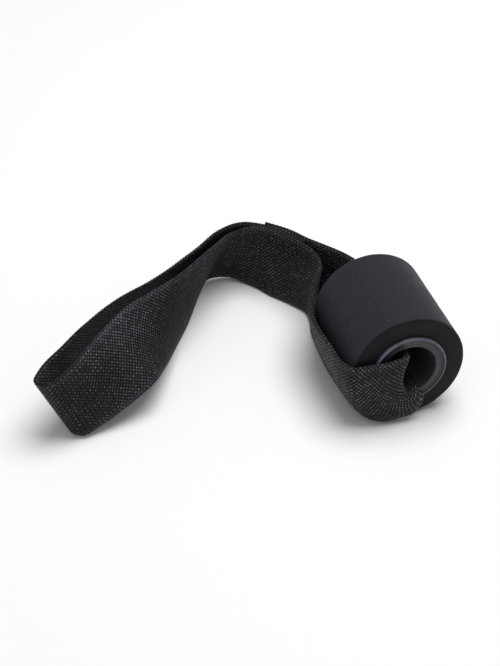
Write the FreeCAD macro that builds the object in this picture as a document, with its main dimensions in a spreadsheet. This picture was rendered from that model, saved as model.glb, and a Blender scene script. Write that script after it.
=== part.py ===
"""Door anchor with a foam roller: a webbing strip that runs through the roller and ends in a sewn loop.

Frame, in millimetres: +Z up, the part lies on z = 0, +X runs from the loop's tip to the roller and the
roller turns about an axis along Y.  The origin is under the middle of the part's bounding box.
"""
import FreeCAD, Part
import math
import os
import Sketcher
from FreeCAD import Placement, Rotation, Vector

DRIVING = {
    # place of the roller's middle from the origin
    "roller_x": 50.37,
    "roller_y": -25.4,
    # foam sleeve
    "foam_length": 40.0,
    "foam_diameter": 39.0,
    "foam_rounding": 0.8,
    # plastic core
    "core_bore": 18.0,
    "core_wall": 1.4,
    "core_recess": 0.4,
    "ring_diameter": 25.4,
    "ring_proud": 1.3,
    "ring_bevel": 0.35,
    "hub_depth": 6.0,
    "hub_wall": 1.0,
    # webbing strip
    "webbing_width": 25.0,
    "webbing_thickness": 1.4,
    "layer_pitch": 1.9,
    "curl_radius": 8.0,
    "curl_middle": 201.0,
    # lockstitch through the three layers of the neck
    "stitch_length": 2.3,
    "stitch_pitch": 3.1,
    "thread_width": 0.5,
    "thread_rise": 0.04,
    "seam_margin": 3.0,
    "seam_inset": 1.0,
    "seam_length": 14.5,
    "seam_tail": 3.0,
}

doc = FreeCAD.newDocument("door_anchor")
sheet = doc.addObject("Spreadsheet::Sheet", "sheet")
for row, (alias, value) in enumerate(DRIVING.items(), start=1):
    sheet.set(f"A{row}", alias)
    sheet.set(f"B{row}", str(value))
    sheet.setAlias(f"B{row}", alias)
doc.recompute()


def size(alias):
    """The value that the sheet holds under this alias."""
    return float(sheet.get(alias))


# ---------------------------------------------------------------- turned parts of the roller

def turned_body(label, profile):
    """A body of revolution about its own Z axis; profile is a list of (radius, height) formulas."""
    body = doc.addObject("PartDesign::Body", label)
    body.Label = label
    plane = next(f for f in body.Origin.OriginFeatures if f.Role == "XZ_Plane")
    sketch = body.newObject("Sketcher::SketchObject", label + "_profile")
    sketch.AttachmentSupport = [(plane, "")]
    sketch.MapMode = "FlatFace"
    corners = [Vector(worth(radius), worth(height), 0) for radius, height in profile]
    count = len(corners)
    for i in range(count):
        sketch.addGeometry(Part.LineSegment(corners[i], corners[(i + 1) % count]), False)
    for i in range(count):
        sketch.addConstraint(Sketcher.Constraint("Coincident", i, 2, (i + 1) % count, 1))
    for i, (radius, height) in enumerate(profile):
        for kind, formula in (("DistanceX", radius), ("DistanceY", height)):
            index = sketch.addConstraint(Sketcher.Constraint(kind, -1, 1, i, 1, worth(formula)))
            name = f"{kind}_{i}"
            sketch.renameConstraint(index, name)
            sketch.setExpression(f"Constraints.{name}", formula)
    turn = body.newObject("PartDesign::Revolution", label + "_turn")
    turn.Profile = sketch
    turn.ReferenceAxis = (sketch, ["V_Axis"])
    turn.Angle = 360.0
    sketch.Visibility = False
    return body


def worth(formula):
    """The number that a formula on sheet cells gives, used as a sketch's first guess."""
    terms = formula.replace("sheet.", "").replace("(", "").replace(")", "").split(" ")
    total, sign = 0.0, 1.0
    for term in terms:
        if term in ("+", "-"):
            sign = 1.0 if term == "+" else -1.0
            continue
        name, _, divisor = term.partition("/")
        total += sign * (size(name) if name in DRIVING else float(name)) / float(divisor or 1)
    return total


def lay_on_axis(body, turn_degrees, offset_formula):
    """Turns a body's Z axis along the roller's axis and binds its place to the sheet."""
    body.Placement = Placement(Vector(0, 0, 0), Rotation(Vector(1, 0, 0), turn_degrees))
    body.setExpression(".Placement.Base.x", "sheet.roller_x * 1mm")
    body.setExpression(".Placement.Base.y", f"(sheet.roller_y {offset_formula}) * 1mm")
    body.setExpression(".Placement.Base.z", "sheet.foam_diameter / 2 * 1mm")


FAR, NEAR = -90.0, 90.0          # turns that point a body's Z axis along +Y or along -Y

BORE = "sheet.core_bore/2"
TUBE = "sheet.core_bore/2 + sheet.core_wall"
HUB = "sheet.core_bore/2 + sheet.core_wall + sheet.hub_wall"
FOAM = "sheet.foam_diameter/2"
LENGTH = "sheet.foam_length"

# A rounded edge is two chords whose middle point lies 1 - cos 45 degrees, or 1/3.4, of the radius in.
foam_sleeve = turned_body("foam_sleeve", [
    (HUB, "0"),
    (FOAM + " - sheet.foam_rounding", "0"),
    (FOAM + " - sheet.foam_rounding/3.4", "sheet.foam_rounding/3.4"),
    (FOAM, "sheet.foam_rounding"),
    (FOAM, LENGTH + " - sheet.foam_rounding"),
    (FOAM + " - sheet.foam_rounding/3.4", LENGTH + " - sheet.foam_rounding/3.4"),
    (FOAM + " - sheet.foam_rounding", LENGTH),
    (HUB, LENGTH),
    (HUB, LENGTH + " - sheet.hub_depth"),
    (TUBE, LENGTH + " - sheet.hub_depth"),
    (TUBE, "sheet.hub_depth"),
    (HUB, "sheet.hub_depth"),
])
lay_on_axis(foam_sleeve, FAR, "- sheet.foam_length / 2")

# The tube ends just below the faces of both rings.
OVERHANG = " + sheet.ring_proud - sheet.core_recess"
core_tube = turned_body("core_tube", [
    (BORE, "0"),
    (TUBE, "0"),
    (TUBE, LENGTH + OVERHANG + OVERHANG),
    (BORE, LENGTH + OVERHANG + OVERHANG),
])
lay_on_axis(core_tube, FAR, "- sheet.foam_length / 2 - sheet.ring_proud + sheet.core_recess")

# An end ring is measured from the inner end of its hub, outwards.
RIM = "sheet.ring_diameter/2"
RING_FACE = "sheet.hub_depth + sheet.ring_proud"
RING = [
    (TUBE, "0"),
    (HUB, "0"),
    (HUB, "sheet.hub_depth"),
    (RIM, "sheet.hub_depth"),
    (RIM, RING_FACE + " - sheet.ring_bevel"),
    (RIM + " - sheet.ring_bevel", RING_FACE),
    (TUBE + " + sheet.ring_bevel", RING_FACE),
    (TUBE, RING_FACE + " - sheet.ring_bevel"),
]
end_ring_near = turned_body("end_ring_near", RING)
lay_on_axis(end_ring_near, NEAR, "- sheet.foam_length / 2 + sheet.hub_depth")
end_ring_far = turned_body("end_ring_far", RING)
lay_on_axis(end_ring_far, FAR, "+ sheet.foam_length / 2 - sheet.hub_depth")


# ---------------------------------------------------------------- route of the webbing strip

YARNS = 5                        # points across the strip that carry its cross-section


def flat(lower, upper, middle=None):
    """A cross-section from the lower to the upper selvedge, bowed through middle where it is given."""
    low, high = Vector(*lower), Vector(*upper)
    mid = Vector(*middle) if middle else (low + high) * 0.5
    points = []
    for i in range(YARNS):
        v = i / (YARNS - 1)
        points.append(low * ((1 - v) * (1 - 2 * v)) + mid * (4 * v * (1 - v)) + high * (v * (2 * v - 1)))
    return points


def curled(depth, radius, turn=0.0):
    """A cross-section curled against the wall of the bore, at this depth along the roller's axis."""
    points = []
    for i in range(YARNS):
        v = i / (YARNS - 1)
        spread = math.degrees((0.5 - v) * size("webbing_width") / radius)
        angle = math.radians(size("curl_middle") + turn + spread)
        height = size("foam_diameter") / 2 + radius * math.sin(angle)
        points.append(Vector(radius * math.cos(angle), depth, height))
    return points


def woven(*points):
    """A cross-section given yarn by yarn, where the strip folds over the ring."""
    return [Vector(*point) for point in points]


def behind(station, layers):
    """A cross-section moved back, level, through the neck by this many layers of webbing."""
    step = Vector(math.cos(NECK_NORMAL), math.sin(NECK_NORMAL), 0) * size("layer_pitch")
    return [point + step * layers for point in station]


curl = size("curl_radius")

# Stations of the one strip in order, from the roller's middle on the ground.  The seam joins three
# layers at the neck: the front one is given first, and the other two follow it at the layer pitch.
NECK_NEAR = flat((-18.1, 50.8, 0.3), (-13.3, 53.8, 24.6))
NECK_MIDDLE = flat((-23.5, 58.3, 0.3), (-18.2, 61.8, 24.4))
NECK_END = flat((-28.6, 66.5, 0.3), (-25.2, 67.4, 25.2))
NECK_FRONT = [NECK_NEAR, NECK_MIDDLE, NECK_END]
NECK_NORMAL = math.radians(34.0)

FAR_LEG = [
    behind(NECK_END, 2),
    behind(NECK_MIDDLE, 2),
    behind(NECK_NEAR, 2),
    flat((-10.1, 46.5, 0.7), (-5.2, 48.2, 25.1)),
    flat((-5.2, 39.2, 1.0), (-0.9, 40.8, 25.6)),
    flat((-1.3, 32.1, 2.2), (0.9, 33.3, 26.8), (-2.0, 32.7, 14.4)),
    flat((1.6, 26.5, 6.0), (0.0, 27.0, 27.0), (-6.2, 26.8, 15.6)),
]
BORE_RUN = [
    curled(21.8, curl),
    curled(15.0, curl),
    curled(2.0, curl),
    woven((3.1, -13, 12.5), (-1.8, -13, 12), (-4.6, -13, 16.6), (-4.2, -13, 22.2), (-1.9, -13, 27)),
]
FACE_TURN = [
    woven((3.2, -19.5, 12.7), (-1.3, -19.5, 11.9), (-3.4, -19.5, 16.6), (-2.9, -19.5, 22), (-1.5, -19.5, 27)),
    woven((3.1, -21.7, 12.9), (-1.3, -21.8, 12), (-3.3, -21.8, 16.6), (-2.8, -21.8, 22.1), (-1.5, -21.7, 27)),
    woven((4.5, -22.9, 10.6), (-1.5, -23.4, 10.6), (-3.9, -23.3, 16.2),
          (-3.5, -23.2, 22), (-2.1, -22.9, 27.8)),
    woven((4.4, -23, 6.7), (-3.2, -23.9, 8.6), (-5.6, -23.9, 15), (-5.4, -23.8, 21.3), (-4.6, -23.1, 26.9)),
    woven((1.8, -23, 2.9), (-5.4, -23.7, 7.4), (-8.4, -23.9, 13.8), (-8.4, -23.7, 20.2), (-7.8, -22.8, 26.1)),
    woven((-3.6, -23, 1.8), (-8.9, -23.5, 7), (-11.6, -23.6, 12.9),
          (-11.8, -23.2, 19.3), (-11.3, -22.3, 25.4)),
    flat((-8.6, -22.6, 1.2), (-14.8, -21.7, 25.2), (-14.5, -22.9, 13.0)),
]
FLANK = [
    flat((-12.5, -18.7, 0.6), (-19.8, -20.9, 24.8), (-19.4, -20.9, 12.4)),
    flat((-14.4, -14.2, 0.5), (-21.8, -16.4, 24.3), (-20.6, -15.6, 12.2)),
    flat((-16.0, -5.5, 0.5), (-22.8, -6.5, 24.2), (-20.9, -6.0, 12.2)),
    flat((-16.9, 5.0, 0.5), (-23.6, 5.0, 24.2), (-20.9, 5.0, 12.2)),
    flat((-17.0, 15.0, 0.5), (-22.9, 14.6, 24.6), (-20.6, 14.8, 12.4)),
    flat((-16.7, 23.5, 0.5), (-19.9, 22.8, 25.0)),
    flat((-15.9, 31.1, 0.5), (-15.3, 31.3, 25.1)),
    flat((-14.5, 38.2, 0.5), (-11.1, 38.4, 24.9)),
    flat((-14.2, 43.2, 0.5), (-10.5, 44.4, 24.9)),
]
FRONT_LAYER = [
    flat((-35.6, 72.4, 1.4), (-31.6, 67.2, 25.4)),
    flat((-43.9, 71.8, 2.4), (-36.4, 65.6, 25.4)),
    flat((-50.5, 62.2, 2.6), (-41.4, 61.2, 25.9)),
    flat((-56.7, 49.2, 3.4), (-51.1, 50.6, 27.9)),
    flat((-63.3, 36.2, 4.6), (-62.0, 39.8, 29.3)),
    flat((-68.9, 25.6, 6.4), (-72.5, 32.0, 30.2)),
    flat((-74.0, 15.2, 9.2), (-83.5, 26.4, 29.5)),
    flat((-79.7, 6.2, 11.0), (-92.9, 18.0, 28.8)),
    flat((-89.0, 2.0, 7.5), (-100.7, 8.8, 28.6)),
]
LOOP_TIP = [
    flat((-99.1, -0.6, 3.2), (-109.1, 1.6, 26.1)),
    flat((-105.7, -1.4, 0.9), (-115.5, -0.4, 23.9)),
    flat((-108.7, 2.2, 0.4), (-119.3, 3.0, 23.4)),
    flat((-107.2, 7.6, 0.4), (-116.7, 8.0, 23.8)),
    flat((-105.1, 19.6, 1.0), (-106.9, 16.4, 25.7)),
]
BACK_LAYER = [
    flat((-100.3, 32.6, 3.2), (-96.3, 25.6, 26.9)),
    flat((-92.3, 43.4, 5.2), (-84.9, 34.2, 27.2)),
    flat((-81.7, 52.6, 5.8), (-73.1, 41.6, 26.5)),
    flat((-70.3, 60.6, 5.0), (-61.9, 49.8, 25.9)),
    flat((-58.3, 67.6, 3.8), (-51.1, 58.4, 25.9)),
    flat((-45.9, 74.0, 2.2), (-40.1, 67.8, 26.0)),
    flat((-36.9, 74.4, 1.2), (-32.3, 71.4, 25.6)),
]
NECK_TAIL = [
    behind(NECK_END, 1),
    behind(NECK_MIDDLE, 1),
    behind(NECK_NEAR, 1),
]
STRETCHES = {
    "webbing_far_leg": FAR_LEG,
    "webbing_bore_run": BORE_RUN,
    "webbing_face_turn": FACE_TURN,
    "webbing_flank": FLANK,
    "webbing_neck_front": NECK_FRONT,
    "webbing_front_layer": FRONT_LAYER,
    "webbing_loop_tip": LOOP_TIP,
    "webbing_back_layer": BACK_LAYER,
    "webbing_neck_tail": NECK_TAIL,
}
STEPS = 3                        # steps that each interval between stations is divided into
END_CLEARANCE = 0.6              # least distance from a stretch's end to its next cross-section
SWING_GAP = 1.2                  # half of the slit left between the neck and the swinging loop
ROUTE = [station for stations in STRETCHES.values() for station in stations]


def knot_spacing(route):
    """Distance along the strip at each station, by the yarn that goes furthest between stations."""
    knots = [0.0]
    for here, ahead in zip(route, route[1:]):
        knots.append(knots[-1] + max((b - a).Length for a, b in zip(here, ahead)))
    return knots


KNOTS = knot_spacing(ROUTE)


def slope(yarn, i):
    """Tangent of one yarn at a station, from its neighbours."""
    if i == 0 or i == len(ROUTE) - 1:
        j = min(i, len(ROUTE) - 2)
        return (ROUTE[j + 1][yarn] - ROUTE[j][yarn]) * (1 / (KNOTS[j + 1] - KNOTS[j]))
    behind, ahead = KNOTS[i] - KNOTS[i - 1], KNOTS[i + 1] - KNOTS[i]
    before = (ROUTE[i][yarn] - ROUTE[i - 1][yarn]) * (1 / behind)
    after = (ROUTE[i + 1][yarn] - ROUTE[i][yarn]) * (1 / ahead)
    return (before * ahead + after * behind) * (1 / (behind + ahead))


def section_at(distance):
    """The five yarn points of the strip at this distance along it."""
    i = max(j for j in range(len(KNOTS) - 1) if KNOTS[j] <= distance + 1e-9)
    span = KNOTS[i + 1] - KNOTS[i]
    u = (distance - KNOTS[i]) / span
    points = []
    for yarn in range(YARNS):
        start, end = ROUTE[i][yarn], ROUTE[i + 1][yarn]
        leave, arrive = slope(yarn, i) * span, slope(yarn, i + 1) * span
        points.append(start * (2 * u**3 - 3 * u**2 + 1) + leave * (u**3 - 2 * u**2 + u)
                      + end * (3 * u**2 - 2 * u**3) + arrive * (u**3 - u**2))
    return points


def faces_at(distance):
    """Points on the strip's two faces at this distance: the left and the right one of its travel."""
    probe = 0.05
    here = section_at(distance)
    back = section_at(max(distance - probe, 0.0))
    ahead = section_at(min(distance + probe, KNOTS[-1]))
    half = size("webbing_thickness") / 2
    left, right = [], []
    for yarn in range(YARNS):
        along = ahead[yarn] - back[yarn]
        across = here[min(yarn + 1, YARNS - 1)] - here[max(yarn - 1, 0)]
        normal = along.cross(across).normalize()
        left.append(here[yarn] - normal * half)
        right.append(here[yarn] + normal * half)
    return left, right


def section_wire(distance):
    """A closed cross-section of the webbing: two faces and two selvedges."""
    left, right = faces_at(distance)
    first, second = Part.BSplineCurve(), Part.BSplineCurve()
    first.interpolate(left)
    second.interpolate(right[::-1])
    return Part.Wire([
        first.toShape(),
        Part.LineSegment(left[-1], right[-1]).toShape(),
        second.toShape(),
        Part.LineSegment(right[0], left[0]).toShape(),
    ])


def stretch_solid(start, end):
    """The webbing between two distances along the strip."""
    inner = [start]
    for i in range(len(KNOTS) - 1):
        for step in range(STEPS):
            distance = KNOTS[i] + (KNOTS[i + 1] - KNOTS[i]) * step / STEPS
            if start + END_CLEARANCE < distance < end - END_CLEARANCE:
                inner.append(distance)
    inner.append(end)
    wires = [section_wire(distance) for distance in inner]
    sides = Part.makeLoft(wires, False, False)
    end_wires = [wires[0].OrderedEdges, wires[-1].OrderedEdges]
    caps = [Part.makeRuledSurface(edges[0], edges[2]) for edges in end_wires]
    shell = Part.Shell(sides.Faces + caps)
    shell.sewShape()
    solid = Part.Solid(shell.Shells[0] if shell.ShapeType != "Shell" else shell)
    if solid.Volume < 0:
        solid.reverse()
    return solid


def add_feature(label, shape):
    """A free shape as its own object, moved to the roller's place."""
    feature = doc.addObject("Part::Feature", label)
    feature.Label = label
    feature.Shape = shape
    feature.Placement = Placement(Vector(size("roller_x"), size("roller_y"), 0), Rotation())
    return feature


ends = {}
first = 0
for name, stations in STRETCHES.items():
    last = first + len(stations)
    start = 0.0 if first == 0 else (KNOTS[first - 1] + KNOTS[first]) / 2
    end = KNOTS[-1] if last == len(ROUTE) else (KNOTS[last - 1] + KNOTS[last]) / 2
    ends[name] = [start, end]
    first = last
ends["webbing_neck_front"][1] -= SWING_GAP
ends["webbing_front_layer"][0] += SWING_GAP
ends["webbing_back_layer"][1] -= SWING_GAP
ends["webbing_neck_tail"][0] += SWING_GAP

webbing = [add_feature(name, stretch_solid(*ends[name])) for name in STRETCHES]

# ---------------------------------------------------------------- lockstitch at the neck

def stitch(centre, ahead, normal):
    """One raised stitch: a bar of thread that lies on the webbing along the seam."""
    length, thread = size("stitch_length"), size("thread_width")
    bar = Part.makeBox(length, thread, thread, Vector(-length / 2, -thread / 2, size("thread_rise")))
    turn = Rotation(ahead, ahead.cross(normal) * -1, normal, "XZY")
    bar.Placement = Placement(centre, turn)
    return bar


def seam_corners(start, end):
    """The seam's rectangle as (distance along, share of the width), inside the selvedges."""
    margin = size("seam_margin") / size("webbing_width")
    return [(start, margin), (end, margin), (end, 1 - margin), (start, 1 - margin)]


def face_point(distance, share):
    """A point on the strip's outer face, with the face's outward direction."""
    left, right = faces_at(distance)
    place = share * (YARNS - 1)
    i = min(int(place), YARNS - 2)
    blend = place - i
    point = left[i] * (1 - blend) + left[i + 1] * blend
    inside = right[i] * (1 - blend) + right[i + 1] * blend
    return point, (point - inside).normalize()


def seam(label, start, end):
    """The thread that shows on one side of the seam, as a group of stitches."""
    corners = seam_corners(start, end)
    bars = []
    for (s0, v0), (s1, v1) in zip(corners, corners[1:] + corners[:1]):
        run = math.hypot(s1 - s0, (v1 - v0) * size("webbing_width"))
        count = round(run / size("stitch_pitch"))
        for k in range(count):
            share = (k + 0.5) / count
            centre, normal = face_point(s0 + (s1 - s0) * share, v0 + (v1 - v0) * share)
            beyond, _ = face_point(s0 + (s1 - s0) * (share + 0.02), v0 + (v1 - v0) * (share + 0.02))
            ahead = (beyond - centre).normalize()
            bars.append(stitch(centre, ahead, normal))
    return add_feature(label, Part.makeCompound(bars))


neck_start = KNOTS[ROUTE.index(NECK_NEAR)]
needle_thread = seam("needle_thread", neck_start + size("seam_inset"), neck_start + size("seam_length"))
bobbin_thread = seam("bobbin_thread", size("seam_tail"), size("seam_tail") + size("seam_length"))

doc.recompute()

bodies = [foam_sleeve, core_tube, end_ring_near, end_ring_far]
nodes = bodies + webbing + [needle_thread, bobbin_thread]
broken = [o.Name for o in doc.Objects if "Invalid" in o.State or "Error" in o.State]
if broken:
    raise RuntimeError(f"failed objects: {broken}")
os.makedirs("parts", exist_ok=True)
box = None
for node in nodes:
    shape = node.Shape
    if shape.isNull() or not shape.isValid():
        raise RuntimeError(f"{node.Label} has no valid shape")
    box = shape.BoundBox if box is None else box.united(shape.BoundBox)
    print(node.Label, round(shape.Volume, 1), shape.BoundBox)
for node in nodes:
    node.Shape.exportStep(f"parts/{node.Label}.step")
print("box", box)
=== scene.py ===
"""Door anchor: a webbing strip that runs through a foam-covered roller and ends in a sewn loop.

Everything is in metres in the frame's own axes, but the webbing's route and each name that ends in _MM
are in millimetres.
"""
import math

import bmesh
import bpy
import numpy as np
from mathutils import Matrix, Vector, noise


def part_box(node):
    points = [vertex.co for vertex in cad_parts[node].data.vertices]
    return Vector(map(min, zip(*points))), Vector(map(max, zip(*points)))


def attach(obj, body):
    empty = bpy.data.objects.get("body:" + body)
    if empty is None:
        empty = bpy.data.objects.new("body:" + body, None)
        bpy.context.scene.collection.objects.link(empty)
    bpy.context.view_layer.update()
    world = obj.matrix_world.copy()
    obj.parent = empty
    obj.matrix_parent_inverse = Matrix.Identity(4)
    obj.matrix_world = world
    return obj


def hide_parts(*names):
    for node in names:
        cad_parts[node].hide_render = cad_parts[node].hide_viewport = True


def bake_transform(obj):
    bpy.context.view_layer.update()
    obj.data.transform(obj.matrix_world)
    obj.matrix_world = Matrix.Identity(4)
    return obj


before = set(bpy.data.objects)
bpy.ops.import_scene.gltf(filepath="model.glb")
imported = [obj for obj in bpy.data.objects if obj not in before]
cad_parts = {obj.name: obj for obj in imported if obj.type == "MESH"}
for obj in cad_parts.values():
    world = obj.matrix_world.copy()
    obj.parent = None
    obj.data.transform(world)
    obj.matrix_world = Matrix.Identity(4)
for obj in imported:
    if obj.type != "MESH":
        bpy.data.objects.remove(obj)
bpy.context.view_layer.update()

bl_info = {
    "name": "Door anchor strap",
    "version": (1, 0, 0),
    "blender": (4, 5, 0),
    "location": "View3D > Sidebar > Anchor",
    "description": "Builds a webbing door anchor with a foam roller",
    "category": "Object",
}

MM = 0.001
FOAM_LOW, FOAM_HIGH = (Vector(corner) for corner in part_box("foam_sleeve"))
TUBE_LOW, TUBE_HIGH = (Vector(corner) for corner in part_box("core_tube"))
RING_LOW, RING_HIGH = (Vector(corner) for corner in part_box("end_ring_near"))
AXIS = (FOAM_LOW + FOAM_HIGH) / 2                    # the roller's middle
FOAM_RADIUS = (FOAM_HIGH.z - FOAM_LOW.z) / 2
FOAM_LENGTH = FOAM_HIGH.y - FOAM_LOW.y
TUBE_RADIUS = (TUBE_HIGH.z - TUBE_LOW.z) / 2
TUBE_LENGTH = TUBE_HIGH.y - TUBE_LOW.y
RING_RADIUS = (RING_HIGH.z - RING_LOW.z) / 2
RING_PROUD = FOAM_LOW.y - RING_LOW.y
HUB_DEPTH = RING_HIGH.y - FOAM_LOW.y
BLACK_THREAD = (0.012, 0.012, 0.014)
# Paler than the plastic: painted light deep in the bore, where little of the lamps' light reaches.
BORE_PAINTED_LIGHT = (0.0555, 0.0555, 0.0585)


# ---------------------------------------------------------------- settings shown in the sidebar

class RollerSettings(bpy.types.PropertyGroup):
    """Sizes and colours of the foam sleeve and the plastic core"""

    foam_rounding: bpy.props.FloatProperty(
        name="Foam rounding", description="Radius of the foam's edges", default=0.9 * MM, unit="LENGTH")
    foam_colour: bpy.props.FloatVectorProperty(
        name="Foam", description="Colour of the foam", default=(0.0186, 0.0162, 0.0256), subtype="COLOR")
    bore: bpy.props.FloatProperty(
        name="Bore", description="Diameter of the core's bore", default=18 * MM, unit="LENGTH")
    plastic_colour: bpy.props.FloatVectorProperty(
        name="Plastic", description="Colour of the core and its rings", default=(0.0185, 0.0183, 0.0245),
        subtype="COLOR")
    rim_bead: bpy.props.FloatProperty(
        name="Rim bead", description="Radius of the bead on a ring's rim", default=0.45 * MM, unit="LENGTH")


class WebbingSettings(bpy.types.PropertyGroup):
    """Sizes and colours of the webbing strip and its seam"""

    width: bpy.props.FloatProperty(
        name="Width", description="Width of the webbing", default=25 * MM, unit="LENGTH")
    thickness: bpy.props.FloatProperty(
        name="Thickness", description="Thickness of the webbing", default=1.4 * MM, unit="LENGTH")
    pick_pitch: bpy.props.FloatProperty(
        name="Pick pitch", description="Spacing of the weft picks along the strip", default=0.75 * MM,
        unit="LENGTH")
    yarn_count: bpy.props.IntProperty(
        name="Yarns", description="Warp yarns across the strip", default=34)
    relief: bpy.props.FloatProperty(
        name="Relief", description="Height of the weave above its middle", default=0.13 * MM, unit="LENGTH")
    # Painted shade: the hollows between the yarns are painted darker than the webbing's own black.
    hollow_shade_colour: bpy.props.FloatVectorProperty(
        name="Hollows", description="Colour between the yarns", default=(0.0030, 0.0030, 0.0036),
        subtype="COLOR")
    # Painted highlight: the yarn tops are painted far paler than the webbing's own black.
    yarn_highlight_colour: bpy.props.FloatVectorProperty(
        name="Yarn tops", description="Colour of the yarns' tops", default=(0.215, 0.205, 0.245),
        subtype="COLOR")
    stitch_pitch: bpy.props.FloatProperty(
        name="Stitch pitch", description="Spacing of the stitches", default=3.1 * MM, unit="LENGTH")


class StageSettings(bpy.types.PropertyGroup):
    """Floor, light and camera"""

    floor_colour: bpy.props.FloatVectorProperty(
        name="Floor", description="Colour of the floor", default=(0.93, 0.93, 0.925), subtype="COLOR")
    sky_strength: bpy.props.FloatProperty(
        name="Sky", description="Strength of the light from all round", default=0.38)
    lens: bpy.props.FloatProperty(
        name="Lens", description="Focal length on a 36 mm sensor", default=81.1, subtype="DISTANCE_CAMERA")


# ---------------------------------------------------------------- materials

class Nodes:
    """A small helper that adds and links the shader nodes of one material or world."""

    def __init__(self, owner, shader="Principled BSDF"):
        owner.use_nodes = True
        self.owner = owner
        self.tree = owner.node_tree
        self.shader = self.tree.nodes[shader]

    def add(self, kind, **values):
        node = self.tree.nodes.new("ShaderNode" + kind)
        for key, value in values.items():
            setattr(node, key, value)
        return node

    def link(self, out, into):
        self.tree.links.new(out, into)

    def drive(self, socket, value):
        """Links a varying value into one of the shader's sockets."""
        self.link(value, self.shader.inputs[socket])

    def surface(self, colour, **even):
        """Links the base colour, and sets the sockets that are even all over, with _ for a space."""
        self.drive("Base Color", colour)
        for name, value in even.items():
            self.shader.inputs[name.replace("_", " ")].default_value = value

    def math(self, operation, first, second=None):
        node = self.add("Math", operation=operation)
        for socket, value in zip(node.inputs, (first, second)):
            if value is None:
                continue
            if isinstance(value, (int, float)):
                socket.default_value = value
            else:
                self.link(value, socket)
        return node.outputs[0]

    def scaled(self, value, factor, offset=0.0):
        """The value times the factor, plus the offset."""
        node = self.add("Math", operation="MULTIPLY_ADD")
        self.link(value, node.inputs[0])
        node.inputs[1].default_value = factor
        node.inputs[2].default_value = offset
        return node.outputs[0]

    def product(self, first, *others):
        """All these values multiplied together."""
        for other in others:
            first = self.math("MULTIPLY", first, other)
        return first

    def swing(self, phase):
        """The cosine of the phase, brought between 0 and 1."""
        return self.scaled(self.math("COSINE", phase), 0.5, 0.5)

    def ramp(self, value, low, high):
        """The value stretched so that low becomes 0 and high becomes 1, and no further."""
        node = self.add("MapRange")
        node.inputs["From Min"].default_value = low
        node.inputs["From Max"].default_value = high
        self.link(value, node.inputs["Value"])
        return node.outputs[0]

    def mix_colour(self, share, first, second):
        node = self.add("Mix", data_type="RGBA")
        for socket, value in ((node.inputs[0], share), (node.inputs[6], first), (node.inputs[7], second)):
            if isinstance(value, tuple):
                socket.default_value = (*value, 1.0)
            else:
                self.link(value, socket)
        return node.outputs[2]

    def split(self, vector):
        """The X, Y and Z of a vector."""
        node = self.add("SeparateXYZ")
        self.link(vector, node.inputs["Vector"])
        return node.outputs["X"], node.outputs["Y"], node.outputs["Z"]

    def place(self):
        """The object's own coordinates, which are the frame's."""
        return self.add("TexCoord").outputs["Object"]

    def from_middle(self, coordinate, middle):
        """Distance of a coordinate from the roller's middle."""
        return self.math("ABSOLUTE", self.math("SUBTRACT", coordinate, middle))

    def grain(self, scale, detail, roughness, stretch=(1, 1, 1)):
        """Noise on the object's own coordinates."""
        mapping = self.add("Mapping")
        mapping.inputs["Scale"].default_value = stretch
        texture = self.add("TexNoise")
        texture.inputs["Scale"].default_value = scale
        texture.inputs["Detail"].default_value = detail
        texture.inputs["Roughness"].default_value = roughness
        self.link(self.place(), mapping.inputs["Vector"])
        self.link(mapping.outputs["Vector"], texture.inputs["Vector"])
        return texture.outputs[0]

    def bump(self, height, distance, strength):
        node = self.add("Bump")
        node.inputs["Strength"].default_value = strength
        node.inputs["Distance"].default_value = distance
        self.link(height, node.inputs["Height"])
        self.drive("Normal", node.outputs["Normal"])


def shade(colour, share):
    """The colour made lighter or darker by this share."""
    return tuple(channel * share for channel in colour)


def foam_material(settings):
    """Matte closed-cell foam: fine cells, faint mottling and pale specks, and end faces painted darker,
    partly its own tone, partly painted shade.
    """
    nodes = Nodes(bpy.data.materials.new("foam_cells"))
    colour = settings.foam_colour
    cells = nodes.grain(2600, 2.0, 0.7)
    mottle = nodes.grain(160, 4.0, 0.65)
    specks = nodes.ramp(nodes.grain(1500, 1.0, 0.5), 0.62, 0.74)
    skin = nodes.mix_colour(nodes.ramp(mottle, 0.3, 0.7), shade(colour, 0.86), shade(colour, 1.14))
    pitted = nodes.mix_colour(nodes.ramp(cells, 0.34, 0.66), shade(colour, 0.60), skin)
    flecked = nodes.mix_colour(nodes.scaled(specks, 0.45), pitted, shade(colour, 3.2))
    _, depth, _ = nodes.split(nodes.place())
    end = FOAM_LENGTH / 2
    # End faces painted darker: partly the cut foam's own tone, partly painted shade on the faces turned from
    # the lamp.
    end_faces = nodes.ramp(nodes.from_middle(depth, AXIS.y), end - 0.7 * MM, end - 0.2 * MM)
    darkened = nodes.mix_colour(nodes.scaled(end_faces, 0.85), flecked, (0.0, 0.0, 0.0))
    nodes.surface(darkened, Specular_IOR_Level=0.15, Sheen_Weight=0.06, Sheen_Roughness=0.6)
    nodes.drive("Roughness", nodes.ramp(mottle, -1.5, 1.6))
    nodes.bump(nodes.math("ADD", nodes.scaled(cells, 0.7), nodes.scaled(mottle, 0.6)), 0.12 * MM, 0.8)
    return nodes.owner


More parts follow.
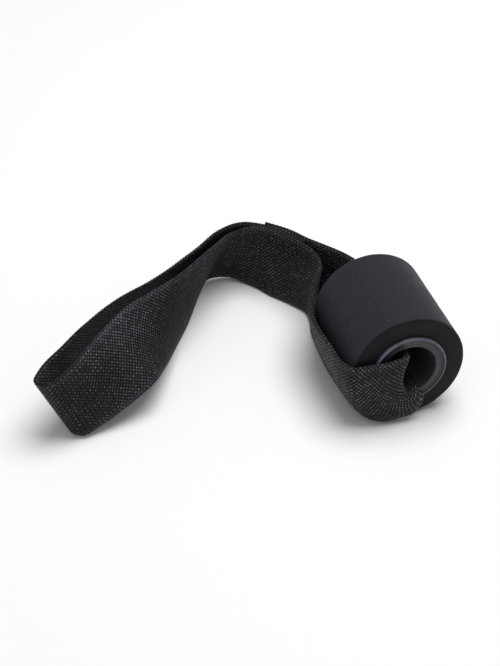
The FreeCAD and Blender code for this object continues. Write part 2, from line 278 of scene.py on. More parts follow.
def ring_material(settings):
    """The rings' plastic: smooth and slightly hazy, with a painted highlight along the rim and the inner lip,
    which are also glossier.
    """
    nodes = Nodes(bpy.data.materials.new("ring_plastic"))
    colour = settings.plastic_colour
    x, _, z = nodes.split(nodes.place())
    sideways, upwards = nodes.from_middle(x, AXIS.x), nodes.from_middle(z, AXIS.z)
    squares = nodes.math("ADD", nodes.product(sideways, sideways), nodes.product(upwards, upwards))
    radius = nodes.math("SQRT", squares)
    haze = nodes.grain(160, 3.0, 0.5)
    # Painted highlight: the rim, and the inner lip at half strength, are painted seven times paler, patchy
    # with the haze.
    rim = nodes.ramp(radius, RING_RADIUS - 0.75 * MM, RING_RADIUS - 0.35 * MM)
    lip = nodes.ramp(radius, TUBE_RADIUS + 0.45 * MM, TUBE_RADIUS + 0.05 * MM)
    painted_sheen = nodes.product(nodes.math("MAXIMUM", rim, nodes.scaled(lip, 0.5)), nodes.ramp(haze, 0.1, 0.6))
    hazy = nodes.mix_colour(nodes.ramp(haze, 0.3, 0.7), shade(colour, 0.92), shade(colour, 1.08))
    nodes.surface(nodes.mix_colour(painted_sheen, hazy, shade(colour, 7.0)), Specular_IOR_Level=0.34)
    nodes.drive("Roughness", nodes.math("SUBTRACT", nodes.ramp(haze, -1.0, 3.2), nodes.scaled(painted_sheen, 0.12)))
    return nodes.owner


def bore_material(settings):
    """The tube's satin plastic, with fine scuffs: as the rings at its mouths, and further in a paler grey
    that is painted light.
    """
    nodes = Nodes(bpy.data.materials.new("core_plastic"))
    colour = settings.plastic_colour
    scuff = nodes.grain(900, 4.0, 0.6, (1.0, 0.25, 1.0))
    haze = nodes.grain(120, 2.0, 0.5)
    hazy = nodes.mix_colour(nodes.ramp(haze, 0.3, 0.7), shade(colour, 0.85), shade(colour, 1.15))
    _, depth, _ = nodes.split(nodes.place())
    end = TUBE_LENGTH / 2
    # Painted light: away from the mouths the bore is painted paler, standing in for light that hardly reaches
    # it.
    mouth = nodes.ramp(nodes.from_middle(depth, AXIS.y), end - 1.2 * MM, end - 0.3 * MM)
    nodes.surface(nodes.mix_colour(mouth, BORE_PAINTED_LIGHT, hazy))
    nodes.drive("Roughness", nodes.scaled(nodes.ramp(scuff, 0.3, 0.7), 0.14, 0.32))
    nodes.bump(haze, 0.01 * MM, 0.3)
    return nodes.owner


def painted_yarn_glint(nodes, column, phase):
    """How brightly each float of each yarn is painted to shine, by chance: a painted glint."""
    cell = nodes.add("CombineXYZ")
    nodes.link(column, cell.inputs["X"])
    nodes.link(nodes.math("ROUND", nodes.math("DIVIDE", phase, math.tau)), cell.inputs["Y"])
    chance = nodes.add("TexWhiteNoise", noise_dimensions="2D")
    nodes.link(cell.outputs["Vector"], chance.inputs["Vector"])
    return nodes.scaled(nodes.math("POWER", chance.outputs["Value"], 1.6), 1.15, 0.62)


def weft_rib_shade(nodes, along, wave):
    """Painted shade in the grooves between the weft's ribs, faint along the strip and deep where the loop's
    tip opens them.
    """
    from_tip = nodes.math("ABSOLUTE", nodes.math("SUBTRACT", along, TIP_LENGTH))
    depth = nodes.scaled(nodes.ramp(from_tip, 34 * MM, 16 * MM), 0.26, 0.12)
    dip = nodes.product(nodes.math("SUBTRACT", nodes.math("COSINE", wave), 1.0), depth)
    return nodes.math("ADD", dip, 1.0)


def with_selvedges(nodes, settings, colour, wave, yarn, fibres):
    """The woven colour with a dark border, and slanting pale turns of the weft beside it."""
    edge = nodes.add("Attribute", attribute_name="selvedge").outputs["Fac"]
    slant = nodes.math("ADD", nodes.scaled(wave, 1.25), nodes.scaled(yarn, 1.1))
    turns = nodes.math("POWER", nodes.swing(slant), 1.6)
    fuzz = nodes.scaled(nodes.ramp(fibres, 0.25, 0.75), 0.32)
    pale = nodes.product(nodes.math("MAXIMUM", edge, 0.0), turns, fuzz)
    hemmed = nodes.mix_colour(pale, colour, shade(settings.yarn_highlight_colour, 1.1))
    border = nodes.math("MAXIMUM", nodes.scaled(edge, -0.8), 0.0)
    return nodes.mix_colour(border, hemmed, tuple(settings.hollow_shade_colour))


def webbing_material(settings):
    """Woven black webbing, drawn on the strip's own UV map, which is in metres along and round it."""
    nodes = Nodes(bpy.data.materials.new("black_webbing"))
    along, around, _ = nodes.split(nodes.add("UVMap").outputs["UV"])
    yarn = nodes.math("DIVIDE", around, settings.width / settings.yarn_count)
    column = nodes.math("FLOOR", yarn)
    wave = nodes.math("MULTIPLY", along, math.pi / settings.pick_pitch)
    phase = nodes.math("ADD", wave, nodes.math("MULTIPLY", column, math.pi))
    rounded = nodes.math("SINE", nodes.math("MULTIPLY", nodes.math("FRACT", yarn), math.pi))
    weave = nodes.product(nodes.swing(phase), nodes.math("POWER", rounded, 0.6))
    fibres = nodes.grain(3800, 3.0, 0.7)
    tops = nodes.product(nodes.ramp(weave, 0.22, 0.95), nodes.ramp(fibres, 0.30, 0.62))
    # Painted sheen: broad patches where the painted highlights on the yarn tops show.
    painted_sheen = nodes.ramp(nodes.grain(45, 3.0, 0.6), 0.05, 0.75)
    lit = nodes.product(tops, painted_yarn_glint(nodes, column, phase), painted_sheen, weft_rib_shade(nodes, along, wave))
    # The webbing's black as a mix of painted shade in the hollows and painted highlights on the yarn tops.
    colour = nodes.mix_colour(lit, tuple(settings.hollow_shade_colour), tuple(settings.yarn_highlight_colour))
    colour = with_selvedges(nodes, settings, colour, wave, yarn, fibres)
    nodes.surface(colour, Roughness=0.6, Specular_IOR_Level=0.14, Sheen_Weight=0.03, Sheen_Roughness=0.45)
    nodes.bump(nodes.math("ADD", weave, nodes.scaled(fibres, 0.35)), 0.16 * MM, 0.9)
    return nodes.owner


def thread_material():
    """Twisted black thread, a little glossier than the webbing."""
    nodes = Nodes(bpy.data.materials.new("black_thread"))
    twist = nodes.grain(2400, 2.0, 0.5, (1.0, 1.0, 0.3))
    colour = nodes.mix_colour(nodes.ramp(twist, 0.3, 0.7), shade(BLACK_THREAD, 0.6), shade(BLACK_THREAD, 1.6))
    nodes.surface(colour, Roughness=0.5)
    nodes.bump(twist, 0.05 * MM, 0.7)
    return nodes.owner


def floor_material(settings):
    """Plain pale paper with the faintest tooth, which glows where the lamps don't reach."""
    nodes = Nodes(bpy.data.materials.new("pale_floor"))
    pale = tuple(settings.floor_colour)
    away = nodes.add("VectorMath", operation="LENGTH")
    nodes.link(nodes.place(), away.inputs[0])
    colour = nodes.mix_colour(nodes.grain(300, 2.0, 0.5), shade(pale, 0.995), pale)
    nodes.surface(colour, Roughness=0.9, Emission_Color=(*pale, 1.0))
    nodes.drive("Emission Strength", nodes.scaled(nodes.ramp(away.outputs["Value"], 0.45, 1.5), 0.55))
    return nodes.owner


def soft_sky(strength):
    """A world that is bright overhead, dim lower down, and has a pale band along the horizon."""
    nodes = Nodes(bpy.data.worlds.new("soft_sky"), "Background")
    _, _, height = nodes.split(nodes.add("TexCoord").outputs["Generated"])
    dome = nodes.scaled(nodes.ramp(height, 0.0, 1.0), 1.05 * strength, 0.30 * strength)
    band = nodes.scaled(nodes.ramp(height, 0.15, 0.06), 0.70)
    nodes.drive("Strength", nodes.math("ADD", dome, band))
    nodes.shader.inputs["Color"].default_value = (1.0, 1.0, 1.0, 1.0)
    return nodes.owner


# ---------------------------------------------------------------- mesh helpers

def add_piece(name, bm, material, body, slot, *nodes, smooth_angle=None):
    """Puts a finished mesh in the scene as a piece that stands for these CAD nodes.

    Without a body, the piece is left unattached.
    """
    mesh = bpy.data.meshes.new(name)
    bm.to_mesh(mesh)
    bm.free()
    mesh.materials.append(material)
    mesh.shade_smooth()
    if smooth_angle is not None:
        mesh.set_sharp_from_angle(angle=math.radians(smooth_angle))
    piece = bpy.data.objects.new(name, mesh)
    bpy.context.scene.collection.objects.link(piece)
    if body:
        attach(piece, body)
    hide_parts(*nodes)
    return piece


def ground(x_mm, y_mm, z_mm=0.0):
    """A place in the frame, from millimetres off the ground under the roller's middle."""
    return (AXIS.x + x_mm * MM, AXIS.y + y_mm * MM, z_mm * MM)


def arc(centre, radius, start, end, steps):
    """Points on an arc in the (radius, height) plane, angles in degrees."""
    points = []
    for k in range(steps + 1):
        angle = math.radians(start + (end - start) * k / steps)
        points.append((centre[0] + radius * math.cos(angle), centre[1] + radius * math.sin(angle)))
    return points


def spun(profile, steps):
    """A closed ring spun about Y through the roller's axis from an outline of (radius, y from the middle)."""
    bm = bmesh.new()
    verts = [bm.verts.new((AXIS.x + radius, AXIS.y + y, AXIS.z)) for radius, y in profile]
    edges = [bm.edges.new((verts[i], verts[(i + 1) % len(verts)])) for i in range(len(verts))]
    bmesh.ops.spin(bm, geom=verts + edges, cent=AXIS, axis=(0, 1, 0), angle=math.tau, steps=steps,
                   use_merge=True)
    bmesh.ops.remove_doubles(bm, verts=bm.verts, dist=1e-7)
    bmesh.ops.recalc_face_normals(bm, faces=bm.faces)
    return bm


def divided(points, step):
    """The outline with its long stretches divided, so that the surface can undulate."""
    out = []
    for (x0, y0), (x1, y1) in zip(points, points[1:] + points[:1]):
        count = max(1, round(math.hypot(x1 - x0, y1 - y0) / step))
        for k in range(count):
            share = k / count
            out.append((x0 + (x1 - x0) * share, y0 + (y1 - y0) * share))
    return out


# ---------------------------------------------------------------- roller

FOAM_TURNS = 176                 # steps round the foam
CORE_TURNS = 128                 # steps round the tube and the rings
FOAM_STEP = 1.1 * MM             # length of the foam's faces along its outline
HUB_WALL = 1.35 * MM             # from a ring's rim in to the outside of its hub
FIT_GAP = 0.05 * MM              # between the tube and the foam round it


def build_foam(settings):
    """The foam sleeve: round edges, and a surface that waves and dents by a tenth of a millimetre."""
    half, rounding = FOAM_LENGTH / 2, settings.foam_rounding
    inner = TUBE_RADIUS + FIT_GAP
    hub = RING_RADIUS - HUB_WALL + FIT_GAP
    outline = [(inner, -half + HUB_DEPTH), (hub, -half + HUB_DEPTH), (hub, -half)]
    outline += arc((FOAM_RADIUS - rounding, -half + rounding), rounding, -90, 0, 6)
    outline += arc((FOAM_RADIUS - rounding, half - rounding), rounding, 0, 90, 6)
    outline += [(hub, half), (hub, half - HUB_DEPTH), (inner, half - HUB_DEPTH)]
    bm = spun(divided(outline, FOAM_STEP), FOAM_TURNS)
    for vert in bm.verts:
        place = vert.co - AXIS
        if math.hypot(place.x, place.z) < hub + 0.5 * MM:
            continue
        slow, quick = noise.noise(place * 90), noise.noise(place * 320)
        vert.co += vert.normal * (slow * 0.07 - 0.09 + quick * 0.035) * MM
    foam = add_piece("foam_cover", bm, foam_material(settings), "roller", "foam", "foam_sleeve")


def build_core(settings):
    """The plastic tube and the flanged ring pressed on each of its ends."""
    bore = settings.bore / 2
    lip, corner = 0.6 * MM, 0.06 * MM
    half = TUBE_LENGTH / 2
    outline = arc((bore + lip, -half + lip), lip, 180, 270, 8)
    outline += arc((TUBE_RADIUS - corner, -half + corner), corner, 270, 360, 3)
    outline += arc((TUBE_RADIUS - corner, half - corner), corner, 0, 90, 3)
    outline += arc((bore + lip, half - lip), lip, 90, 180, 8)
    tube = spun(outline, CORE_TURNS)
    add_piece("core_liner", tube, bore_material(settings), "roller",
              "core_plastic", "core_tube", smooth_angle=50)
    worn_plastic = ring_material(settings)
    for name, node, side in (("ring_cap_near", "end_ring_near", -1), ("ring_cap_far", "end_ring_far", 1)):
        ring = spun(ring_outline(settings, side), CORE_TURNS)
        add_piece(name, ring, worn_plastic, "roller", "ring_plastic", node, smooth_angle=50)


def ring_outline(settings, side):
    """Section of an end ring: a hub round the tube, then a flange with a beaded rim and a dished face."""
    bead = settings.rim_bead
    seat = FOAM_LENGTH / 2
    face = seat + RING_PROUD
    clear = 0.02 * MM
    inner, hub = TUBE_RADIUS + clear, RING_RADIUS - HUB_WALL
    outline = [(inner, seat - HUB_DEPTH), (hub, seat - HUB_DEPTH), (hub, seat + clear)]
    outline += [(RING_RADIUS - 0.1 * MM, seat + clear), (RING_RADIUS, seat + 0.15 * MM)]
    outline += arc((RING_RADIUS - bead, face - bead), bead, 0, 130, 10)
    outline += [(RING_RADIUS - 2.2 * bead, face - 0.30 * MM), (RING_RADIUS - 3.2 * bead, face - 0.36 * MM)]
    outline += [(inner + 0.06 * MM, face - 0.38 * MM), (inner, face - 0.44 * MM)]
    return [(radius, side * y) for radius, y in outline]


# ---------------------------------------------------------------- route of the webbing strip

YARNS = 5                        # points across the strip that carry its cross-section
CURL_MM = 8.0                    # radius of the strip's curl in the bore
CURL_MIDDLE = 201.0              # direction of the curl's middle from the axis, in degrees
CURL_WIDTH_MM = 25.0             # width of webbing that the curl takes up
LAYER_MM = 1.9                   # spacing of the sewn layers
PROBE_MM = 0.2                   # how far either side of a point its direction along is measured
PROBE_SHARE = 0.01               # and its direction across, as a share of the width
NECK_NORMAL = math.radians(34.0)


def flat(lower, upper, middle=None):
    """A cross-section from the lower to the upper selvedge, bowed through middle where it is given."""
    low, high = np.array(lower, float), np.array(upper, float)
    mid = np.array(middle, float) if middle else (low + high) / 2
    v = np.linspace(0, 1, YARNS)[:, None]
    return low * (1 - v) * (1 - 2 * v) + mid * 4 * v * (1 - v) + high * v * (2 * v - 1)


def curled(depth):
    """A cross-section curled against the wall of the bore, at this depth along the roller's axis."""
    spread = np.degrees((0.5 - np.linspace(0, 1, YARNS)) * CURL_WIDTH_MM / CURL_MM)
    angle = np.radians(CURL_MIDDLE + spread)
    height = FOAM_RADIUS / MM + CURL_MM * np.sin(angle)
    return np.stack([CURL_MM * np.cos(angle), np.full(YARNS, depth), height], axis=1)


def woven(*points):
    """A cross-section given yarn by yarn, where the strip folds over the ring."""
    return np.array(points, float)


def behind(station, layers):
    """A cross-section moved back, level, through the neck by this many layers of webbing."""
    return station + np.array([math.cos(NECK_NORMAL), math.sin(NECK_NORMAL), 0]) * LAYER_MM * layers


NECK_NEAR = flat((-18.1, 50.8, 0.3), (-13.3, 53.8, 24.6))
NECK_MIDDLE = flat((-23.5, 58.3, 0.3), (-18.2, 61.8, 24.4))
NECK_END = flat((-28.6, 66.5, 0.3), (-25.2, 67.4, 25.2))

# Stations of the one strip in order, in millimetres from the ground under the roller's middle.
ROUTE = [
    behind(NECK_END, 2),
    behind(NECK_MIDDLE, 2),
    behind(NECK_NEAR, 2),
    flat((-10.1, 46.5, 0.7), (-5.2, 48.2, 25.1)),
    flat((-5.2, 39.2, 1.0), (-0.9, 40.8, 25.6)),
    flat((-1.3, 32.1, 2.2), (0.9, 33.3, 26.8), (-2.0, 32.7, 14.4)),
    flat((1.6, 26.5, 6.0), (0.0, 27.0, 27.0), (-6.2, 26.8, 15.6)),
    curled(21.8),
    curled(15.0),
    curled(2.0),
    woven((3.1, -13, 12.5), (-1.8, -13, 12), (-4.6, -13, 16.6), (-4.2, -13, 22.2), (-1.9, -13, 27)),
    woven((3.2, -19.5, 12.7), (-1.3, -19.5, 11.9), (-3.4, -19.5, 16.6), (-2.9, -19.5, 22), (-1.5, -19.5, 27)),
    woven((3.1, -21.7, 12.9), (-1.3, -21.8, 12), (-3.3, -21.8, 16.6), (-2.8, -21.8, 22.1), (-1.5, -21.7, 27)),
    woven((4.5, -22.9, 10.6), (-1.5, -23.4, 10.6), (-3.9, -23.3, 16.2),
          (-3.5, -23.2, 22), (-2.1, -22.9, 27.8)),
    woven((4.4, -23, 6.7), (-3.2, -23.9, 8.6), (-5.6, -23.9, 15), (-5.4, -23.8, 21.3), (-4.6, -23.1, 26.9)),
    woven((1.8, -23, 2.9), (-5.4, -23.7, 7.4), (-8.4, -23.9, 13.8), (-8.4, -23.7, 20.2), (-7.8, -22.8, 26.1)),
    woven((-3.6, -23, 1.8), (-8.9, -23.5, 7), (-11.6, -23.6, 12.9),
          (-11.8, -23.2, 19.3), (-11.3, -22.3, 25.4)),
    flat((-8.6, -22.6, 1.2), (-14.8, -21.7, 25.2), (-14.5, -22.9, 13.0)),
    flat((-12.5, -18.7, 0.6), (-19.8, -20.9, 24.8), (-19.4, -20.9, 12.4)),
    flat((-14.4, -14.2, 0.5), (-21.8, -16.4, 24.3), (-20.6, -15.6, 12.2)),
    flat((-16.0, -5.5, 0.5), (-22.8, -6.5, 24.2), (-20.9, -6.0, 12.2)),
    flat((-16.9, 5.0, 0.5), (-23.6, 5.0, 24.2), (-20.9, 5.0, 12.2)),
    flat((-17.0, 15.0, 0.5), (-22.9, 14.6, 24.6), (-20.6, 14.8, 12.4)),
    flat((-16.7, 23.5, 0.5), (-19.9, 22.8, 25.0)),
    flat((-15.9, 31.1, 0.5), (-15.3, 31.3, 25.1)),
    flat((-14.5, 38.2, 0.5), (-11.1, 38.4, 24.9)),
    flat((-14.2, 43.2, 0.5), (-10.5, 44.4, 24.9)),
    NECK_NEAR,
    NECK_MIDDLE,
    NECK_END,
    flat((-35.6, 72.4, 1.4), (-31.6, 67.2, 25.4)),
    flat((-43.9, 71.8, 2.4), (-36.4, 65.6, 25.4)),
    flat((-50.5, 62.2, 2.6), (-41.4, 61.2, 25.9)),
    flat((-56.7, 49.2, 3.4), (-51.1, 50.6, 27.9)),
    flat((-63.3, 36.2, 4.6), (-62.0, 39.8, 29.3)),
    flat((-68.9, 25.6, 6.4), (-72.5, 32.0, 30.2)),
    flat((-74.0, 15.2, 9.2), (-83.5, 26.4, 29.5)),
    flat((-79.7, 6.2, 11.0), (-92.9, 18.0, 28.8)),
    flat((-89.0, 2.0, 7.5), (-100.7, 8.8, 28.6)),
    flat((-99.1, -0.6, 3.2), (-109.1, 1.6, 26.1)),
    flat((-105.7, -1.4, 0.9), (-115.5, -0.4, 23.9)),
    flat((-108.7, 2.2, 0.4), (-119.3, 3.0, 23.4)),
    flat((-107.2, 7.6, 0.4), (-116.7, 8.0, 23.8)),
    flat((-105.1, 19.6, 1.0), (-106.9, 16.4, 25.7)),
    flat((-100.3, 32.6, 3.2), (-96.3, 25.6, 26.9)),
    flat((-92.3, 43.4, 5.2), (-84.9, 34.2, 27.2)),
    flat((-81.7, 52.6, 5.8), (-73.1, 41.6, 26.5)),
    flat((-70.3, 60.6, 5.0), (-61.9, 49.8, 25.9)),
    flat((-58.3, 67.6, 3.8), (-51.1, 58.4, 25.9)),
    flat((-45.9, 74.0, 2.2), (-40.1, 67.8, 26.0)),
    flat((-36.9, 74.4, 1.2), (-32.3, 71.4, 25.6)),
    behind(NECK_END, 1),
    behind(NECK_MIDDLE, 1),
    behind(NECK_NEAR, 1),
]
STATIONS = np.array(ROUTE)
SPACING = np.linalg.norm(np.diff(STATIONS, axis=0), axis=2).max(axis=1)
KNOTS = np.concatenate([[0.0], np.cumsum(SPACING)])


def station_slopes():
    """Tangent of each yarn at each station, from its neighbours."""
    steps = np.diff(STATIONS, axis=0) / SPACING[:, None, None]
    slopes = np.empty_like(STATIONS)
    slopes[0], slopes[-1] = steps[0], steps[-1]
    before, ahead = SPACING[:-1, None, None], SPACING[1:, None, None]
    slopes[1:-1] = (steps[:-1] * ahead + steps[1:] * before) / (before + ahead)
    return slopes


SLOPES = station_slopes()


def yarns_at(distances):
    """The five yarn points at each of these distances along the route, in millimetres."""
    i = np.clip(np.searchsorted(KNOTS, distances, side="right") - 1, 0, len(KNOTS) - 2)
    span = SPACING[i][:, None, None]
    u = ((distances - KNOTS[i]) / SPACING[i])[:, None, None]
    return (STATIONS[i] * (2 * u**3 - 3 * u**2 + 1) + SLOPES[i] * span * (u**3 - 2 * u**2 + u)
            + STATIONS[i + 1] * (3 * u**2 - 2 * u**3) + SLOPES[i + 1] * span * (u**3 - u**2))


def length_table():
    """Distances along the route and the true length of webbing up to each, averaged over the yarns."""
    distances = np.linspace(0, KNOTS[-1], 4000)
    yarns = yarns_at(distances)
    runs = np.linalg.norm(np.diff(yarns, axis=0), axis=2).mean(axis=1)
    return distances, np.concatenate([[0.0], np.cumsum(runs)])


TABLE_DISTANCE, TABLE_LENGTH = length_table()
STRIP_MM = TABLE_LENGTH[-1]


def true_length(station):
    """Webbing length from the start of the strip to a station, in millimetres."""
    return float(np.interp(KNOTS[station], TABLE_DISTANCE, TABLE_LENGTH))


def spread_across(yarns, shares):
    """Points across the strip at these shares of its width, on the curve through the five yarns."""
    knots = np.linspace(0, 1, YARNS)
    weights = np.ones((len(shares), YARNS))
    for i in range(YARNS):
        for j in range(YARNS):
            if i != j:
                weights[:, i] *= (shares - knots[j]) / (knots[i] - knots[j])
    return np.einsum("vy,nyc->nvc", weights, yarns)


def strip_frame(lengths_mm, shares):
    """Middle surface, unit direction along, across and face normal at each (length, share), in metres."""
    distances = np.interp(lengths_mm, TABLE_LENGTH, TABLE_DISTANCE)
    middle = spread_across(yarns_at(distances), shares)
    ahead = spread_across(yarns_at(np.minimum(distances + PROBE_MM, KNOTS[-1])), shares)
    back = spread_across(yarns_at(np.maximum(distances - PROBE_MM, 0)), shares)
    over = spread_across(yarns_at(distances), np.minimum(shares + PROBE_SHARE, 1))
    under = spread_across(yarns_at(distances), np.maximum(shares - PROBE_SHARE, 0))
    along = ahead - back
    along /= np.linalg.norm(along, axis=2, keepdims=True)
    across = over - under
    across /= np.linalg.norm(across, axis=2, keepdims=True)
    normal = np.cross(along, across)
    normal /= np.linalg.norm(normal, axis=2, keepdims=True)
    return middle * MM + np.array(ground(0, 0)), along, across, normal


# ---------------------------------------------------------------- webbing

EDGE_STEPS = 3                   # divisions round each selvedge
ROWS_PER_PICK = 2
TIP_STATION = 41                 # middle of the loop's tip
TIP_LENGTH = true_length(TIP_STATION) * MM
WEBBING_NODES = [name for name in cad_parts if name.startswith("webbing_")]


def ring_columns(settings):
    """Columns round the strip's section.

    Each is a share across, a depth in half thicknesses, how far out on the selvedge it is, and a yarn.
    """
    count = settings.yarn_count
    rounding = settings.thickness / 2 / settings.width
    columns = []
    for side in (1, -1):
        order = range(count + 1) if side == 1 else range(count, -1, -1)
        for yarn in order:
            share = rounding + (1 - 2 * rounding) * yarn / count
            columns.append((share, 1.0 * side, 0.0, yarn))
        for step in range(1, EDGE_STEPS):
            angle = math.pi * step / EDGE_STEPS
            inset = rounding * (1 - math.sin(angle))
            share, yarn = (1 - inset, count) if side == 1 else (inset, 0)
            columns.append((share, side * math.cos(angle), math.sin(angle), yarn))
    return columns


def strip_surface(settings, section, lengths):
    """Points of the strip's surface at these lengths, with its plain weave raised on both faces."""
    share, depth, edge, yarn = section
    middle, _, across, normal = strip_frame(lengths, share)
    half = settings.thickness / 2 - settings.relief * 0.6
    wave = np.cos(math.pi * np.arange(len(lengths)) / ROWS_PER_PICK)[:, None]
    woven_wave = wave * np.where(yarn % 2 == 0, 1, -1)[None, :]
    raised = settings.relief * np.where(edge > 0, 0, woven_wave * np.sign(depth))
    bulge = settings.relief * 0.9 * edge * (0.5 + 0.5 * wave)
    surface = middle + normal * (depth * half + np.sign(depth) * raised)[..., None]
    surface += across * (bulge * np.where(share > 0.5, 1, -1))[..., None]
    return surface + cloth_drift(lengths, share, normal)


def build_webbing(settings):
    """The whole strip as one closed piece: a grid that is laid on its surface and joined up."""
    pick = settings.pick_pitch / MM
    rows = int(STRIP_MM / pick) * ROWS_PER_PICK
    columns = ring_columns(settings)
    bm = bmesh.new()
    bm.loops.layers.uv.new("UVMap")
    bmesh.ops.create_grid(bm, x_segments=rows, y_segments=len(columns), size=0.5, calc_uvs=True)
    mesh = bpy.data.meshes.new("webbing_strip")
    bm.to_mesh(mesh)
    bm.free()

    grid = np.empty(len(mesh.vertices) * 3)
    mesh.vertices.foreach_get("co", grid)
    grid = grid.reshape(-1, 3)
    row = np.rint((grid[:, 0] + 0.5) * rows).astype(int)
    column = np.rint((grid[:, 1] + 0.5) * len(columns)).astype(int) % len(columns)
    section = [np.array(values, float) for values in zip(*columns)]
    share = section[0]
    surface = strip_surface(settings, section, np.linspace(0, STRIP_MM, rows + 1))
    mesh.vertices.foreach_set("co", surface[row, column].ravel())
    selvedge = mesh.attributes.new("selvedge", "FLOAT", "POINT")
    selvedge.data.foreach_set("value", selvedge_band(share)[column].astype(np.float32))
    scale_uv(mesh, settings, share)

    bm = bmesh.new()
    bm.from_mesh(mesh)
    bpy.data.meshes.remove(mesh)
    bmesh.ops.remove_doubles(bm, verts=bm.verts, dist=1e-7)
    bmesh.ops.holes_fill(bm, edges=[e for e in bm.edges if e.is_boundary], sides=0)
    bmesh.ops.recalc_face_normals(bm, faces=bm.faces)
    strip = add_piece("webbing_strip", bm, webbing_material(settings), None, "webbing", *WEBBING_NODES)
    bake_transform(strip)


def selvedge_band(share):
    """Above 0 where pale turns of the weft show beside the selvedge, and below 0 on its dark border."""
    inset = np.minimum(share, 1 - share)
    turns = np.clip(inset / 0.02, 0, 1) * np.clip(1.7 - inset / 0.06, 0, 1)
    return turns - np.clip(1 - inset / 0.022, 0, 1)


def cloth_drift(lengths, share, normal):
    """Slow unevenness of soft webbing, a fifth of a millimetre at most, that both faces share."""
    drift = np.array([[noise.noise(Vector((length * 0.09, s * 2.0, 0.3))) for s in (0.0, 0.5, 1.0)]
                      for length in lengths])
    across = np.stack([np.interp(share, (0, 0.5, 1), line) for line in drift])
    return normal * (across * 0.2 * MM)[..., None]


def scale_uv(mesh, settings, share):
    """Makes the UV map metres along the strip, and close to metres round its section."""
    uv = np.empty(len(mesh.loops) * 2)
    layer = mesh.uv_layers.active.data
    layer.foreach_get("uv", uv)
    uv = uv.reshape(-1, 2)
    uv[:, 0] *= STRIP_MM * MM
    around = np.concatenate([[0.0], np.cumsum(np.abs(np.diff(share)) * settings.width + 1e-5)])
    around = np.append(around, around[-1] + 1e-4)
    place = uv[:, 1] * (len(around) - 1)
    uv[:, 1] = np.interp(place, np.arange(len(around)), around)
    layer.foreach_set("uv", uv.ravel())


# ---------------------------------------------------------------- seam

NECK_STATION = 27                # where the front layer of the neck begins
SEAM_MM = 13.5                   # length of the seam along the neck
NEEDLE_START_MM = 1.0            # from the neck's beginning to the seam in front
BOBBIN_START_MM = 3.0            # from the strip's end to the seam behind
SEAM_MARGIN_MM = 3.0             # from each selvedge in to the seam
STITCH_SIZE_MM = (1.35, 0.30, 0.24)     # half length, half width and half height of a stitch
STITCH_LIFT_MM = 0.10            # height of a stitch's middle above the webbing


def seam_points(settings, start_mm):
    """The stitches round the seam's rectangle.

    Each is a length and a share across, and the stitch's direction as a length and a width in millimetres.
    """
    width_mm = settings.width / MM
    end_mm, margin = start_mm + SEAM_MM, SEAM_MARGIN_MM / width_mm
    corners = [(start_mm, margin), (end_mm, margin), (end_mm, 1 - margin), (start_mm, 1 - margin)]
    points = []
    for (s0, v0), (s1, v1) in zip(corners, corners[1:] + corners[:1]):
        ahead, over = s1 - s0, v1 - v0
        run = math.hypot(ahead, over * width_mm)
        count = round(run * MM / settings.stitch_pitch)
        for k in range(count):
            t = (k + 0.5) / count
            points.append((s0 + ahead * t, v0 + over * t, ahead / run, over * width_mm / run))
    return points


def build_seam(settings):
    """The lockstitch that holds the neck: needle thread in front, bobbin thread behind."""
    material = thread_material()
    shape = Matrix.Diagonal((*(size * MM for size in STITCH_SIZE_MM), 1))
    lift = settings.thickness / 2 + STITCH_LIFT_MM * MM
    needle_start = true_length(NECK_STATION) + NEEDLE_START_MM
    for name, node, start in (("needle_stitches", "needle_thread", needle_start),
                              ("bobbin_stitches", "bobbin_thread", BOBBIN_START_MM)):
        bm = bmesh.new()
        for length, share, go_along, go_across in seam_points(settings, start):
            middle, along, across, normal = strip_frame(np.array([length]), np.array([share]))
            ahead = Vector(along[0, 0] * go_along + across[0, 0] * go_across).normalized()
            out = -Vector(normal[0, 0])
            turn = Matrix((ahead, out.cross(ahead), out)).transposed().to_4x4()
            place = Matrix.Translation(Vector(middle[0, 0]) + out * lift)
            bmesh.ops.create_uvsphere(bm, u_segments=10, v_segments=6, radius=1.0,
                                      matrix=place @ turn @ shape)
        add_piece(name, bm, material, "strap", "thread", node)


# ---------------------------------------------------------------- stage

FLOOR_HALF = 3.0                 # half the floor's width
LAMP_TARGET = Vector((0, 0, 0.01))
LAMPS = (                        # name, place, diameter and power
    ("overhead", (0.28, 0.08, 1.12), 0.9, 11.0),
    ("left_fill", (-0.9, -0.35, 0.6), 0.5, 0.5),
)
CAMERA_MM = (-158.3, -375.7, 323.4)
CAMERA_SIGHT = Vector((0.2247, 0.7678, -0.6000))


def put(name, data, place, direction):
    """Adds a lamp or a camera that looks in this direction."""
    thing = bpy.data.objects.new(name, data)
    thing.location = place
    thing.rotation_euler = direction.to_track_quat("-Z", "Y").to_euler()
    bpy.context.scene.collection.objects.link(thing)
    return thing


def build_stage(settings):
    """Floor, sky, lamps and the camera."""
    bm = bmesh.new()
    bmesh.ops.create_grid(bm, x_segments=1, y_segments=1, size=FLOOR_HALF)
    mesh = bpy.data.meshes.new("floor")
    bm.to_mesh(mesh)
    bm.free()
    mesh.materials.append(floor_material(settings))
    floor = bpy.data.objects.new("floor", mesh)
    bpy.context.scene.collection.objects.link(floor)

    bpy.context.scene.world = soft_sky(settings.sky_strength)
    bpy.context.scene.view_settings.view_transform = "Standard"
    for name, place, diameter, power in LAMPS:
        lamp = bpy.data.lights.new(name, "AREA")
        lamp.shape = "DISK"
        lamp.size = diameter
        lamp.energy = power
        put(name, lamp, place, LAMP_TARGET - Vector(place))

    data = bpy.data.cameras.new("camera")
    data.lens = settings.lens
    data.sensor_width = 36.0
    data.clip_start = 0.01
    bpy.context.scene.camera = put("camera", data, ground(*CAMERA_MM), CAMERA_SIGHT)


# ---------------------------------------------------------------- operators and panel

class ANCHOR_OT_foam(bpy.types.Operator):
    """Build the foam sleeve"""

    bl_idname = "anchor.foam"
    bl_label = "Foam sleeve"

    def execute(self, context):
        build_foam(context.scene.anchor_roller)
        return {"FINISHED"}


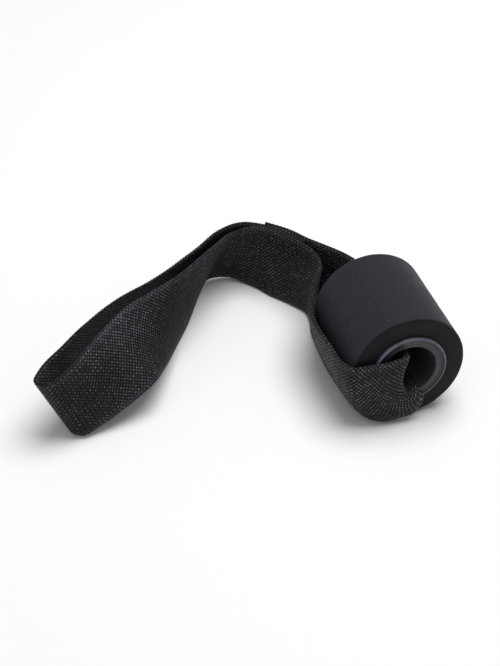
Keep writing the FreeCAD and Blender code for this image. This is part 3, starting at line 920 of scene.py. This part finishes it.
class ANCHOR_OT_core(bpy.types.Operator):
    """Build the plastic tube and its end rings"""

    bl_idname = "anchor.core"
    bl_label = "Core and rings"

    def execute(self, context):
        build_core(context.scene.anchor_roller)
        return {"FINISHED"}


class ANCHOR_OT_webbing(bpy.types.Operator):
    """Build the webbing strip"""

    bl_idname = "anchor.webbing"
    bl_label = "Webbing strip"

    def execute(self, context):
        build_webbing(context.scene.anchor_webbing)
        return {"FINISHED"}


class ANCHOR_OT_seam(bpy.types.Operator):
    """Sew the neck with both threads"""

    bl_idname = "anchor.seam"
    bl_label = "Neck seam"

    def execute(self, context):
        build_seam(context.scene.anchor_webbing)
        return {"FINISHED"}


class ANCHOR_OT_stage(bpy.types.Operator):
    """Set the floor, the light and the camera"""

    bl_idname = "anchor.stage"
    bl_label = "Stage"

    def execute(self, context):
        build_stage(context.scene.anchor_stage)
        return {"FINISHED"}


OPERATORS = (ANCHOR_OT_stage, ANCHOR_OT_foam, ANCHOR_OT_core, ANCHOR_OT_webbing, ANCHOR_OT_seam)
SETTINGS = (
    ("anchor_roller", RollerSettings),
    ("anchor_webbing", WebbingSettings),
    ("anchor_stage", StageSettings),
)


class ANCHOR_PT_parts(bpy.types.Panel):
    """Sizes, colours and buttons of the door anchor"""

    bl_label = "Door anchor"
    bl_idname = "ANCHOR_PT_parts"
    bl_space_type = "VIEW_3D"
    bl_region_type = "UI"
    bl_category = "Anchor"

    def draw(self, context):
        for name, group in SETTINGS:
            settings = getattr(context.scene, name)
            for key in group.__annotations__:
                self.layout.prop(settings, key)
        for operator in OPERATORS:
            self.layout.operator(operator.bl_idname)


CLASSES = tuple(group for _, group in SETTINGS) + OPERATORS + (ANCHOR_PT_parts,)


def register():
    for cls in CLASSES:
        bpy.utils.register_class(cls)
    for name, group in SETTINGS:
        setattr(bpy.types.Scene, name, bpy.props.PointerProperty(type=group))


def unregister():
    for name, _ in SETTINGS:
        delattr(bpy.types.Scene, name)
    for cls in reversed(CLASSES):
        bpy.utils.unregister_class(cls)


def main():
    """Build the whole part."""
    register()
    for operator in OPERATORS:
        group, name = operator.bl_idname.split(".")
        getattr(getattr(bpy.ops, group), name)()


if __name__ == "__main__":
    main()
